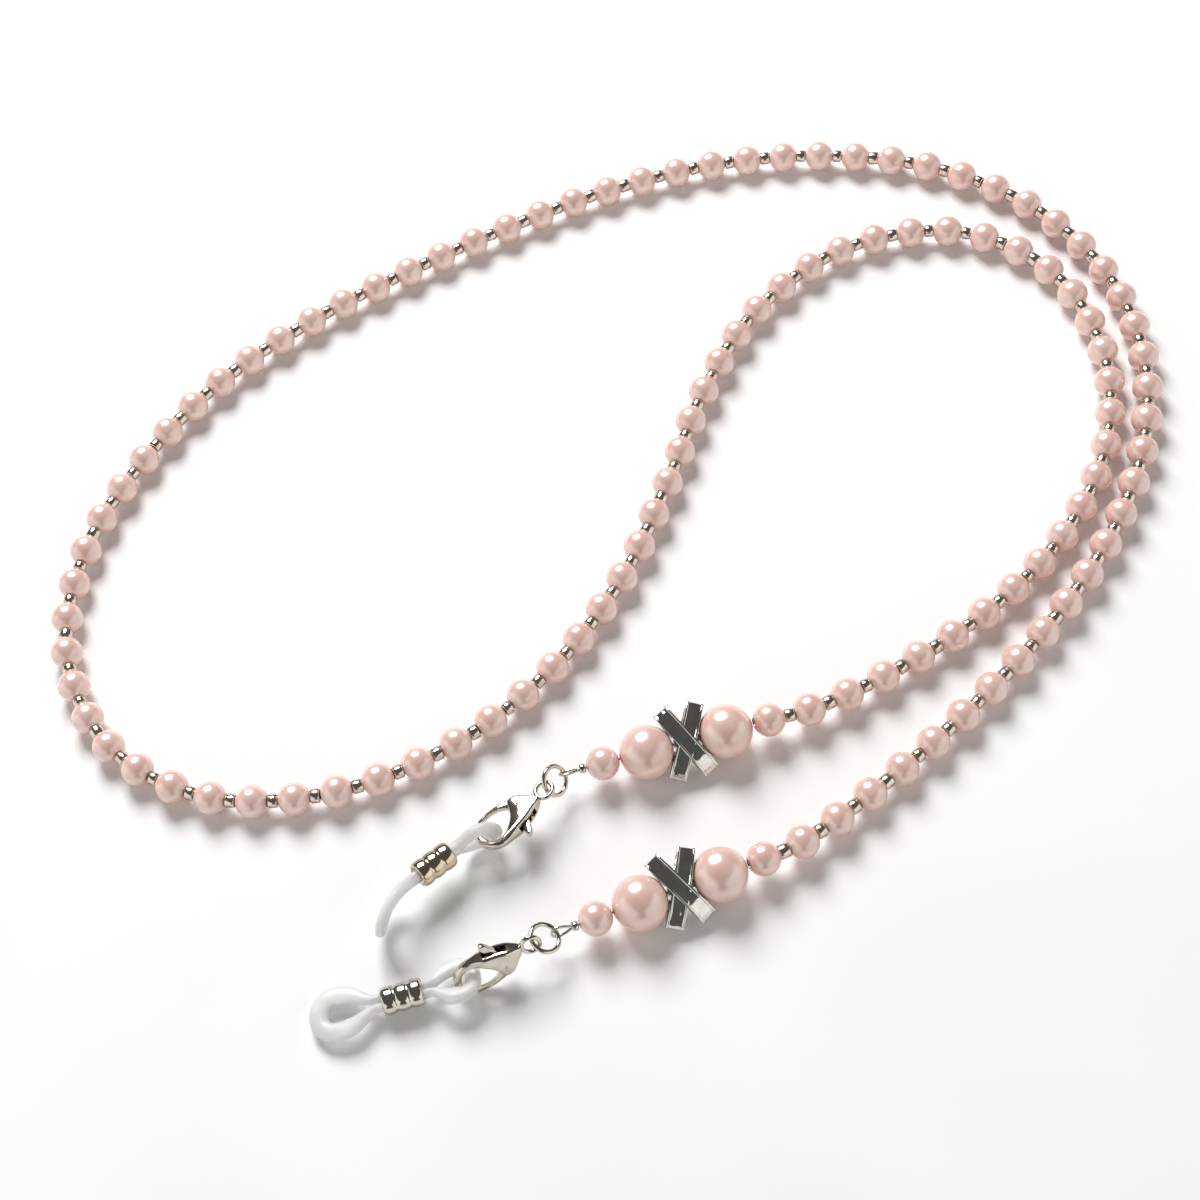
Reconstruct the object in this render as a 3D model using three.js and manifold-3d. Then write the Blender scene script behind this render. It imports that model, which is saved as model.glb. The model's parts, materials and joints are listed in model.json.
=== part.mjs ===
// Beaded eyeglass retainer strap: one long strand of small pearls and metal seed beads on a
// beading wire. Each end carries a cluster (large pearl, crossed-strap spacer, large pearl, small
// pearl), a crimped wire loop, a jump ring, a lobster clasp and a silicone loop with its slider,
// which grips a temple arm of the glasses.
// Units are millimetres, +Z is up, and the strap lies on the plane z = 0.
import * as THREE from "three";
import { mergeVertices } from "three/addons/utils/BufferGeometryUtils.js";
import Module from "manifold-3d";

const wasm = await Module();
wasm.setup();

// ---------------------------------------------------------------- driving dimensions
const PEARL_D = 4.7;
const LARGE_PEARL_D = 7.6;
const SEED_D = 2.0;
const SEED_LENGTH = 1.3; // the length that shows between two pearls
const BEAD_BORE_D = 1.1;
const BEAD_PLAY = 0.1; // free play beside each bead of a cluster
const RUN_PEARLS = 4; // pearls that share one node of the strand
const RUN_GAP = 0.12; // between a run's last seed bead and the next run's pearl

const WIRE_D = 0.4;
const CRIMP_D = 1.4;
const CRIMP_LENGTH = 0.9;
const WIRE_LOOP_LENGTH = 3.0;
const WIRE_LOOP_BEND = 0.82; // centre-line radius where the loop goes round the jump ring
const WIRE_PLAY = 0.16; // of the two legs of the wire loop in the crimp bead
const LEG_GAP = 0.04; // between those legs
const RING_PLAY_IN_LOOP = 0.145; // between the jump ring's wire and the wire loop's bend

const RING_WIRE_D = 0.65;
const RING_D = 4.65; // outside
const RING_SPLIT = 0.15;
const RING_PLAY_IN_EYE = 0.255; // between the jump ring's wire and the clasp's eye

const SPACER_LENGTH = 11.2; // along one strap
const SPACER_DEPTH = 3.2;
const STRAP_WIDTH = 2.4;
const STRAP_WALL = 0.7;
const STRAP_ANGLE = 27.5; // of each strap to the plane square to the wire, in degrees
const STRAP_RISE = 0.15; // the upper strap stands this much proud of the lower one
const STRAP_GROOVE = 0.2;
const STRAP_RIM = 0.3;
const SPACER_BOSS_LENGTH = 3.6;

const CLASP_THICKNESS = 2.4; // at the shoulder
const HOOK_THICKNESS = 1.3;
const LEVER_THICKNESS = 0.9;
const LEVER_PLAY = 0.12; // each side of the lever in its slot
const PIN_D = 0.8;
const PIN_PLAY = 0.06; // radial
const EYE_D = 3.1; // outside
const EYE_WIRE_D = 0.62;
const EYE_RIM = 1.55; // where the eye's rim ends on the clasp, which laps over the neck
const SPRING_THICKNESS = 0.16;

const BAND_WIDTH = 2.1;
const BAND_THICKNESS = 1.6;
const BAND_PINCH = 1.05; // each band's width where the slider squeezes the pair
const BAND_GAP = 0.3; // between the two bands there
const LOOP_LENGTH = 21.1; // along the loop, from the band in the hook to the band at the far tip
const SLIDER_PLACE = 9.6; // from the band in the hook to the slider's middle
const SLIDER_LENGTH = 5.5;
const SLIDER_PLAY = 0.18; // between the corners of the bands and the slider's bore
const SLIDER_WALL = 0.28; // at the crown of each of its rings
const SLIDER_GROOVE = 0.2; // how deep the rings part
const SLIDER_TRAVEL = 1.15; // pinched band past each end of the slider
const CUT_PAST = 1; // how far a cutting solid reaches past what it cuts

// The point of the table below the middle of the strap, which becomes the origin.
const MIDDLE = [4.67, 9.46];

// The strand's route, from the innermost pearl of end A to that of end B.
const ROUTE = [
  [21.1, -25.4, 3.8], [27.0, -24.3, 3.2], [38.0, -20.3, 2.5], [54.4, -12.0, 2.37],
  [68.3, -0.6, 2.35], [78.2, 14.4, 2.35], [81.6, 31.5, 2.35], [77.2, 48.3, 2.35],
  [64.8, 58.6, 2.35], [46.9, 58.4, 2.35], [31.2, 48.8, 2.35], [20.5, 34.4, 2.35],
  [12.4, 17.6, 2.35], [3.7, 2.0, 2.35], [-8.1, -11.8, 2.35], [-23.0, -22.0, 2.35],
  [-40.6, -27.0, 2.35], [-58.4, -25.0, 2.35], [-72.3, -14.5, 2.35], [-78.4, 2.2, 2.35],
  [-75.6, 19.7, 2.35], [-66.8, 35.0, 2.35], [-54.9, 47.9, 2.35], [-40.2, 57.7, 2.35],
  [-23.8, 65.5, 2.35], [-7.4, 71.9, 2.35], [9.6, 77.1, 2.35], [27.6, 79.8, 2.35],
  [45.8, 78.7, 2.35], [62.9, 73.2, 2.35], [77.1, 62.1, 2.35], [85.7, 46.4, 2.35],
  [87.4, 28.8, 2.35], [82.8, 11.6, 2.35], [73.2, -4.1, 2.35], [60.8, -17.3, 2.35],
  [46.9, -28.7, 2.37], [32.2, -38.6, 2.5], [22.1, -44.4, 3.2], [17.2, -46.1, 3.8],
];

// How each end lies. A heading is in degrees from +X, seen from above, and a rise is the slope
// upwards. loopBend gives the silicone loop's [distance from the hook, heading, rise].
const ENDS = {
  a: {
    hinge: ROUTE[0],
    heading: 188, // of the cluster, away from the strand
    spacerLean: 30, // of the spacer's face, back from lying flat
    wireLoopTurn: 0,
    ringHeading: 223,
    ringRise: 20,
    ringNormal: [0.5, -0.5, 0.7],
    claspHeading: 225,
    claspRise: -5,
    claspNormal: [-0.3, 0, 0.95],
    loopBend: [[0, 186, 1], [5.6, 214, 6], [13.6, 214, 6], [22, 256, -26]],
    loopAcross: [[-0.25, -0.15, 0.93], [0.1, -0.5, 0.8]],
  },
  b: {
    hinge: ROUTE[ROUTE.length - 1],
    heading: 193,
    spacerLean: 30,
    wireLoopTurn: 30,
    ringHeading: 210,
    ringRise: 25,
    ringNormal: [0.1, -0.15, 0.98],
    claspHeading: 191,
    claspRise: -5,
    claspNormal: [-0.19, 0.9, -0.38],
    loopBend: [[0, 187, -5], [5.6, 188, -3], [13.6, 188, -3], [22, 180, -10]],
    loopAcross: [[-0.19, 0.92, -0.3], [-0.1, 0.99, 0]],
  },
};

// ---------------------------------------------------------------- outlines, in millimetres
// The clasp lies in its own XY plane: its eye is near the origin, its hook hangs along +X, and
// the thumb tab of its lever points along +Y.
const HOOK_BAND = [8.55, -1.9]; // where the silicone band sits in the hook
const LEVER_PIVOT = [3.9, -1.3];
const HOOK_OUTLINE = [
  [1.3, 0.4], [3.0, 1.0], [5.0, 1.25], [7.5, 1.1], [9.4, 0.7], [10.7, -0.4], [11.25, -1.9],
  [10.9, -3.3], [10.0, -4.2], [9.55, -3.9], [10.0, -2.9], [10.15, -1.9], [9.8, -0.9],
  [9.0, -0.3], [7.6, -0.2], [6.2, -0.7], [5.2, -1.7], [4.4, -2.9], [3.3, -2.7], [1.9, -1.2],
  [1.3, -0.4],
];
const SHOULDER_OUTLINE = [
  [1.3, 0.4], [3.0, 1.0], [5.0, 1.25], [7.6, 1.08], [7.4, -0.15], [6.2, -0.7], [5.3, -1.6],
  [4.5, -2.8], [3.3, -2.7], [1.9, -1.2], [1.3, -0.4],
];
const LEVER_OUTLINE = [
  [3.2, -1.8], [3.4, -2.8], [5.4, -4.1], [7.4, -4.7], [8.9, -4.75], [8.9, -4.4], [7.2, -4.2],
  [5.6, -3.3], [4.9, -1.9], [4.9, -0.6], [6.5, 2.3], [6.4, 2.9], [5.9, 2.9], [3.7, -0.2],
];
const LEVER_SLOT = [
  [2.4, -3.8], [5.2, -3.8], [5.3, -1.4], [5.4, -0.6], [7.0, 2.0], [4.2, 2.4], [2.7, 0.7],
  [2.0, 0.1], [2.0, -1.2],
];
const SPRING_LINE = [[2.55, -1.6], [2.35, -0.8], [2.5, -0.2], [2.9, 0.2]];

// The silicone loop, laid flat: a small lobe in the hook, two pinched bands through the slider and
// a larger lobe at the far tip. A lobe's points are [share of the lobe's length, half width].
const pinchStart = SLIDER_PLACE - SLIDER_LENGTH / 2 - SLIDER_TRAVEL;
const pinchEnd = SLIDER_PLACE + SLIDER_LENGTH / 2 + SLIDER_TRAVEL;
const pinchInside = BAND_GAP / 2;
const pinchOutside = pinchInside + BAND_PINCH;
const nearLobe = (points) => points.map(([share, half]) => [share * pinchStart, half]);
const farLobe = (points) =>
  points.map(([share, half]) => [pinchEnd + share * (LOOP_LENGTH - pinchEnd), half]);
const pinch = (half) =>
  [0, 0.2, 0.5, 0.8, 1].map((share) => [pinchStart + share * (pinchEnd - pinchStart), half]);
const LOOP_OUTSIDE = [
  [-BAND_WIDTH / 2, 0],
  ...nearLobe([[-0.123, 1.55], [0.105, 3.0], [0.439, 3.55], [0.702, 2.6], [0.877, 1.5]]),
  ...pinch(pinchOutside),
  ...farLobe([[0.132, 1.9], [0.329, 3.05], [0.592, 3.75], [0.895, 3.15], [1.086, 1.65]]),
  [LOOP_LENGTH + BAND_WIDTH / 2, 0],
];
const LOOP_INSIDE = [
  [BAND_WIDTH / 2, 0],
  ...nearLobe([[0.193, 0.8], [0.281, 1.35], [0.439, 1.55], [0.632, 1.0], [0.807, 0.4]]),
  ...pinch(pinchInside),
  ...farLobe([[0.184, 0.65], [0.382, 1.35], [0.605, 1.8], [0.789, 1.25]]),
  [LOOP_LENGTH - BAND_WIDTH / 2, 0],
];

// ---------------------------------------------------------------- materials
const finish = (color, roughness, metalness, extra = {}) =>
  new THREE.MeshStandardMaterial({ color, roughness, metalness, ...extra });
const pearlFinish = finish(0xe8cfc8, 0.25, 0);
const nickelFinish = finish(0xc9c5be, 0.15, 1);
const seedFinish = finish(0xc4b3a6, 0.25, 1);
const wireFinish = finish(0xb8b4ae, 0.3, 1);
const springFinish = finish(0x8f9296, 0.35, 1);
const siliconeFinish = finish(0xf1efec, 0.45, 0, { transparent: true, opacity: 0.8 });

// ---------------------------------------------------------------- helpers
const strap = new THREE.Group();
strap.position.set(-MIDDLE[0], -MIDDLE[1], 0);

function solid(geometry) {
  const plain = geometry.index ? geometry.toNonIndexed() : geometry.clone();
  plain.deleteAttribute("normal");
  plain.deleteAttribute("uv");
  const merged = mergeVertices(plain, 1e-4);
  return new wasm.Manifold(
    new wasm.Mesh({
      numProp: 3,
      vertProperties: merged.attributes.position.array,
      triVerts: new Uint32Array(merged.index.array),
    }),
  );
}

function surface(manifold) {
  const mesh = manifold.getMesh();
  return new THREE.BufferGeometry()
    .setAttribute("position", new THREE.BufferAttribute(mesh.vertProperties, 3))
    .setIndex(new THREE.BufferAttribute(mesh.triVerts, 1));
}

function place(name, geometry, material, frame = new THREE.Matrix4()) {
  const mesh = new THREE.Mesh(geometry, material);
  mesh.name = name;
  mesh.applyMatrix4(frame);
  strap.add(mesh);
}

const vector = (numbers) => new THREE.Vector3(...numbers);

function direction(headingDegrees, riseDegrees = 0) {
  const heading = THREE.MathUtils.degToRad(headingDegrees);
  const rise = THREE.MathUtils.degToRad(riseDegrees);
  return new THREE.Vector3(
    Math.cos(heading) * Math.cos(rise),
    Math.sin(heading) * Math.cos(rise),
    Math.sin(rise),
  );
}

// A frame at a point with its X axis along one direction and its Z axis as near another as it can be.
function frameAt(point, alongX, nearZ) {
  const x = alongX.clone().normalize();
  const z = nearZ.clone().addScaledVector(x, -nearZ.dot(x)).normalize();
  const y = z.clone().cross(x);
  return new THREE.Matrix4().makeBasis(x, y, z).setPosition(point);
}

const outline = (points) => new THREE.Shape(points.map(([x, y]) => new THREE.Vector2(x, y)));

function plate(shape, thickness) {
  const geometry = new THREE.ExtrudeGeometry(shape, {
    depth: thickness,
    bevelEnabled: false,
    curveSegments: 6,
  });
  return geometry.translate(0, 0, -thickness / 2);
}

function rod(path, diameter, sides, steps) {
  const section = new THREE.Shape();
  section.absarc(0, 0, diameter / 2, 0, 2 * Math.PI);
  return new THREE.ExtrudeGeometry(section, {
    extrudePath: path,
    steps,
    bevelEnabled: false,
    curveSegments: sides / 2,
  });
}

function arcPoints(radius, centre, fromDegrees, toDegrees, count) {
  return Array.from({ length: count }, (_, i) => {
    const angle = fromDegrees + ((toDegrees - fromDegrees) * i) / (count - 1);
    const a = THREE.MathUtils.degToRad(angle);
    return new THREE.Vector2(radius * Math.sin(a), centre - radius * Math.cos(a));
  });
}

// ---------------------------------------------------------------- the strand
const route = new THREE.CatmullRomCurve3(ROUTE.map(vector), false, "centripetal");
route.arcLengthDivisions = 2000;
const routeLength = route.getLength();
const pearlCount = Math.round(routeLength / (PEARL_D + SEED_LENGTH)) + 1;
const pitch = routeLength / (pearlCount - 1);
const faceInset = Math.sqrt(PEARL_D ** 2 - BEAD_BORE_D ** 2) / 2; // pearl's middle to its bore's rim

// The route at a pearl's number, straight on past either end.
function routeAt(number) {
  const share = number / (pearlCount - 1);
  const inside = THREE.MathUtils.clamp(share, 0, 1);
  const past = (share - inside) * routeLength;
  return route.getPointAt(inside).addScaledVector(route.getTangentAt(inside), past);
}

// The wire is straight between the middles of every second seed bead, and the beads sit on it.
function onWire(number) {
  const from = 2 * Math.floor((number + 0.5) / 2) - 0.5;
  return routeAt(from).lerp(routeAt(from + 2), (number - from) / 2);
}

// The wire as a path whose steps fall on its bends, and which ends inside the outermost bores.
const wireSteps = Math.ceil((pearlCount - 0.5) / 2);
class WirePath extends THREE.Curve {
  getPoint(t, target = new THREE.Vector3()) {
    const overhang = (0.9 * faceInset) / pitch;
    const step = Math.min(Math.floor(wireSteps * t), wireSteps - 1);
    const from = step === 0 ? -overhang : 2 * step - 0.5;
    const to = step === wireSteps - 1 ? pearlCount - 1 + overhang : 2 * step + 1.5;
    return target.copy(onWire(THREE.MathUtils.lerp(from, to, wireSteps * t - step)));
  }
  getUtoTmapping(u) {
    return u;
  }
}

// Pearls and seed beads, turned as one profile about a straight bore and bent along the wire.
function beadRun(first, last) {
  const seedAngle = THREE.MathUtils.radToDeg(Math.asin(SEED_D / PEARL_D));
  const boreAngle = THREE.MathUtils.radToDeg(Math.asin(BEAD_BORE_D / PEARL_D));
  const isLastRun = last === pearlCount - 1;
  const lengthwise = [];
  for (let pearl = first; pearl <= last; pearl++) {
    const start = pearl === first ? boreAngle : seedAngle;
    const end = isLastRun && pearl === last ? 180 - boreAngle : 180 - seedAngle;
    lengthwise.push(...arcPoints(PEARL_D / 2, (pearl - first) * pitch, start, end, 5));
  }
  const seedEnd = (last + 1 - first) * pitch - faceInset - RUN_GAP;
  if (!isLastRun) {
    lengthwise.push(new THREE.Vector2(SEED_D / 2, seedEnd));
    lengthwise.push(new THREE.Vector2(BEAD_BORE_D / 2, seedEnd));
  }
  // the bore bends with the wire, between the run's second and third pearls
  if (last - first > 1) lengthwise.push(new THREE.Vector2(BEAD_BORE_D / 2, 1.5 * pitch));
  lengthwise.push(lengthwise[0].clone());
  const geometry = new THREE.LatheGeometry(lengthwise, 8);
  const position = geometry.attributes.position;
  for (let i = 0; i < position.count; i++) {
    const [across, along, up] = [position.getX(i), position.getY(i), position.getZ(i)];
    const number = first + along / pitch;
    const tangent = routeAt(number + 0.1).sub(routeAt(number - 0.1));
    const frame = frameAt(onWire(number), tangent, new THREE.Vector3(0, 0, 1));
    const bent = new THREE.Vector3(0, -across, up).applyMatrix4(frame);
    position.setXYZ(i, bent.x, bent.y, bent.z);
  }
  return geometry;
}

const runCount = Math.ceil(pearlCount / RUN_PEARLS);
for (let run = 0; run < runCount; run++) {
  const first = run * RUN_PEARLS;
  const last = Math.min(first + RUN_PEARLS, pearlCount) - 1;
  place("bead_run_" + String(run + 1).padStart(2, "0"), beadRun(first, last), pearlFinish);
}
place("beading_wire", rod(new WirePath(), WIRE_D, 6, wireSteps), wireFinish);

// ---------------------------------------------------------------- pieces of the ends
// A bored pearl, with its bore along X.
function pearl(diameter, sides) {
  const boreAngle = THREE.MathUtils.radToDeg(Math.asin(BEAD_BORE_D / diameter));
  const profile = arcPoints(diameter / 2, 0, boreAngle, 180 - boreAngle, sides / 2 + 1);
  profile.push(profile[0].clone());
  return new THREE.LatheGeometry(profile, sides).rotateZ(-Math.PI / 2);
}

// A short round tube, with its bore along X.
function sleeve(diameter, bore, length, sides) {
  const [outer, inner, half] = [diameter / 2, bore / 2, length / 2];
  const profile = [[inner, -half], [outer, -half], [outer, half], [inner, half], [inner, -half]];
  const points = profile.map(([x, y]) => new THREE.Vector2(x, y));
  return new THREE.LatheGeometry(points, sides).rotateZ(-Math.PI / 2);
}

// A flattened ring round the X axis, long in Y and shallow in Z.
function racetrack(length, depth, width) {
  const shape = new THREE.Shape();
  const straight = (length - depth) / 2;
  shape.absarc(straight, 0, depth / 2, -Math.PI / 2, Math.PI / 2);
  shape.absarc(-straight, 0, depth / 2, Math.PI / 2, 1.5 * Math.PI);
  const geometry = new THREE.ExtrudeGeometry(shape, {
    depth: width,
    bevelEnabled: false,
    curveSegments: 4,
  });
  // the outline's length goes to Y, its depth to Z and the extrusion to X
  const turn = new THREE.Matrix4().set(0, 0, 1, -width / 2, 1, 0, 0, 0, 0, 1, 0, 0, 0, 0, 0, 1);
  return solid(geometry.applyMatrix4(turn));
}

// One strap of the spacer: a flattened band with a groove between two rims all the way round.
function spacerStrap(rise) {
  const depth = SPACER_DEPTH + 2 * rise;
  const band = racetrack(SPACER_LENGTH, depth, STRAP_WIDTH);
  const [grooveLength, grooveDepth] = [SPACER_LENGTH - 2 * STRAP_GROOVE, depth - 2 * STRAP_GROOVE];
  const floor = racetrack(grooveLength, grooveDepth, STRAP_WIDTH);
  const between = racetrack(
    SPACER_LENGTH + CUT_PAST,
    depth + CUT_PAST,
    STRAP_WIDTH - 2 * STRAP_RIM,
  );
  const inside = racetrack(
    SPACER_LENGTH - 2 * STRAP_WALL,
    depth - 2 * STRAP_WALL,
    STRAP_WIDTH + CUT_PAST,
  );
  return { full: band.subtract(between.subtract(floor)), inside };
}

function spacer() {
  const turn = (manifold, degrees) => manifold.rotate([0, 0, degrees]);
  const upper = spacerStrap(STRAP_RISE);
  const lower = spacerStrap(0);
  const upperOutside = racetrack(SPACER_LENGTH, SPACER_DEPTH + 2 * STRAP_RISE, STRAP_WIDTH);
  const upperSolid = turn(upperOutside, STRAP_ANGLE);
  const lowerClear = turn(lower.full, -STRAP_ANGLE).subtract(upperSolid);
  const boss = solid(sleeve(SPACER_DEPTH - STRAP_WALL, BEAD_BORE_D, SPACER_BOSS_LENGTH, 12));
  const shell = turn(upper.full, STRAP_ANGLE)
    .add(lowerClear)
    .subtract(turn(upper.inside, STRAP_ANGLE))
    .subtract(turn(lower.inside, -STRAP_ANGLE));
  return surface(shell.add(boss));
}

// A clasp's hook and shoulder cut from plates, its eye, and the slot and hole for its lever.
function claspBody() {
  const hook = solid(plate(outline(HOOK_OUTLINE), HOOK_THICKNESS));
  const shoulder = solid(plate(outline(SHOULDER_OUTLINE), CLASP_THICKNESS));
  const torus = new THREE.TorusGeometry((EYE_D - EYE_WIRE_D) / 2, EYE_WIRE_D / 2, 8, 16);
  const eye = solid(torus.translate(EYE_RIM - EYE_D / 2, 0, 0));
  const slot = solid(plate(outline(LEVER_SLOT), LEVER_THICKNESS + 2 * LEVER_PLAY));
  const pinHole = pivot(CLASP_THICKNESS + CUT_PAST, PIN_PLAY);
  return surface(hook.add(shoulder).add(eye).subtract(slot).subtract(pinHole));
}

// A round bar at the lever's pivot, its radius larger by the play.
function pivot(length, play) {
  const bar = new THREE.CylinderGeometry(PIN_D / 2 + play, PIN_D / 2 + play, length, 12);
  return solid(bar.rotateX(Math.PI / 2).translate(...LEVER_PIVOT, 0));
}

function claspLever() {
  const lever = solid(plate(outline(LEVER_OUTLINE), LEVER_THICKNESS));
  return surface(lever.subtract(pivot(LEVER_THICKNESS + CUT_PAST, PIN_PLAY)));
}

// A leaf spring: a thin strip, bent on a smooth line, as wide as the lever.
function claspSpring() {
  const line = new THREE.SplineCurve(SPRING_LINE.map(([x, y]) => new THREE.Vector2(x, y)));
  const offset = (t, side) => {
    const tangent = line.getTangent(t);
    return line.getPoint(t).add(new THREE.Vector2(-tangent.y, tangent.x).multiplyScalar(side));
  };
  const steps = Array.from({ length: 7 }, (_, i) => i / 6);
  const there = steps.map((t) => offset(t, SPRING_THICKNESS / 2));
  const back = steps.map((t) => offset(1 - t, -SPRING_THICKNESS / 2));
  return plate(new THREE.Shape([...there, ...back]), LEVER_THICKNESS);
}

// A ring of round wire in the XY plane, with its split at -Y.
function jumpRing() {
  const radius = (RING_D - RING_WIRE_D) / 2;
  const half = RING_SPLIT / 2 / radius;
  const [start, end] = [half - Math.PI / 2, 1.5 * Math.PI - half];
  const around = new THREE.EllipseCurve(0, 0, radius, radius, start, end);
  const path = new THREE.CatmullRomCurve3(
    around.getPoints(24).map((point) => new THREE.Vector3(point.x, point.y, 0)),
  );
  return rod(path, RING_WIRE_D, 8, 20);
}

// A wire loop that leaves the crimp bead along X as two legs, in the XY plane.
const wireLoopCentre = WIRE_LOOP_LENGTH - WIRE_D / 2 - WIRE_LOOP_BEND; // of its bend
function wireLoop() {
  const leg = (WIRE_D + LEG_GAP) / 2;
  const legStart = -0.4 * CRIMP_LENGTH; // inside the crimp bead
  const legEnd = 0.1;
  const centre = wireLoopCentre;
  const points = [[legStart, leg], [legEnd, leg], [centre / 2, 0.75 * WIRE_LOOP_BEND]];
  for (let degrees = 90; degrees >= 0; degrees -= 30) {
    const angle = THREE.MathUtils.degToRad(degrees);
    points.push([
      centre + WIRE_LOOP_BEND * Math.cos(angle),
      WIRE_LOOP_BEND * Math.sin(angle),
    ]);
  }
  const mirrored = points.slice(0, -1).reverse().map(([x, y]) => [x, -y]);
  const path = new THREE.CatmullRomCurve3(
    [...points, ...mirrored].map(([x, y]) => new THREE.Vector3(x, y, 0)),
    false,
    "centripetal",
  );
  return rod(path, WIRE_D, 6, 20);
}

// The silicone loop's middle line, walked from the hook in short steps, straight past its tip.
function loopLine(start, bends) {
  const step = 0.25;
  const points = [start.clone()];
  for (let gone = 0; gone < LOOP_LENGTH; gone += step) {
    const next = bends.findIndex(([at]) => at > gone);
    const [from, to] = [bends[next - 1] ?? bends.at(-1), bends[next] ?? bends.at(-1)];
    const share = next > 0 ? (gone - from[0]) / (to[0] - from[0]) : 0;
    const [heading, rise] = [1, 2].map((i) => THREE.MathUtils.lerp(from[i], to[i], share));
    points.push(points.at(-1).clone().addScaledVector(direction(heading, rise), step));
  }
  return (along) => {
    const place = THREE.MathUtils.clamp(along / step, 0, points.length - 2);
    const index = Math.floor(place);
    return points[index].clone().lerp(points[index + 1], along / step - index);
  };
}

// A frame on that line: X along it, Y across the loop, Z through the band.
function loopFrame(line, end, along) {
  const tangent = line(along + 0.3).sub(line(along - 0.3));
  const share = THREE.MathUtils.clamp(along / LOOP_LENGTH, 0, 1);
  const across = vector(end.loopAcross[0]).lerp(vector(end.loopAcross[1]), share);
  return frameAt(line(along), tangent, tangent.clone().cross(across));
}

function siliconeLoop(line, end) {
  const side = (points, sign) => points.map(([along, half]) => [along, sign * half]);
  const closed = (points) => [...side(points, 1), ...side(points.slice(1, -1), -1).reverse()];
  const shape = outline(closed(LOOP_OUTSIDE));
  shape.holes.push(outline(closed(LOOP_INSIDE).reverse()));
  const geometry = plate(shape, BAND_THICKNESS);
  const position = geometry.attributes.position;
  for (let i = 0; i < position.count; i++) {
    const along = position.getX(i);
    const bent = new THREE.Vector3(0, position.getY(i), position.getZ(i));
    bent.applyMatrix4(loopFrame(line, end, along));
    position.setXYZ(i, bent.x, bent.y, bent.z);
  }
  return geometry;
}

// The slider: a sleeve of three rounded rings, with its bore along X.
function loopSlider() {
  const bore = Math.hypot(pinchOutside, BAND_THICKNESS / 2) + SLIDER_PLAY;
  const crown = bore + SLIDER_WALL;
  const ring = SLIDER_LENGTH / 3;
  const profile = [[bore, -SLIDER_LENGTH / 2]];
  for (let i = 0; i < 3; i++) {
    const start = -SLIDER_LENGTH / 2 + i * ring;
    profile.push(
      [crown - SLIDER_GROOVE, start],
      [crown, start + 0.3 * ring],
      [crown, start + 0.7 * ring],
    );
  }
  profile.push([crown - SLIDER_GROOVE, SLIDER_LENGTH / 2], [bore, SLIDER_LENGTH / 2], profile[0]);
  const points = profile.map(([x, y]) => new THREE.Vector2(x, y));
  return new THREE.LatheGeometry(points, 16).rotateZ(-Math.PI / 2);
}

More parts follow.
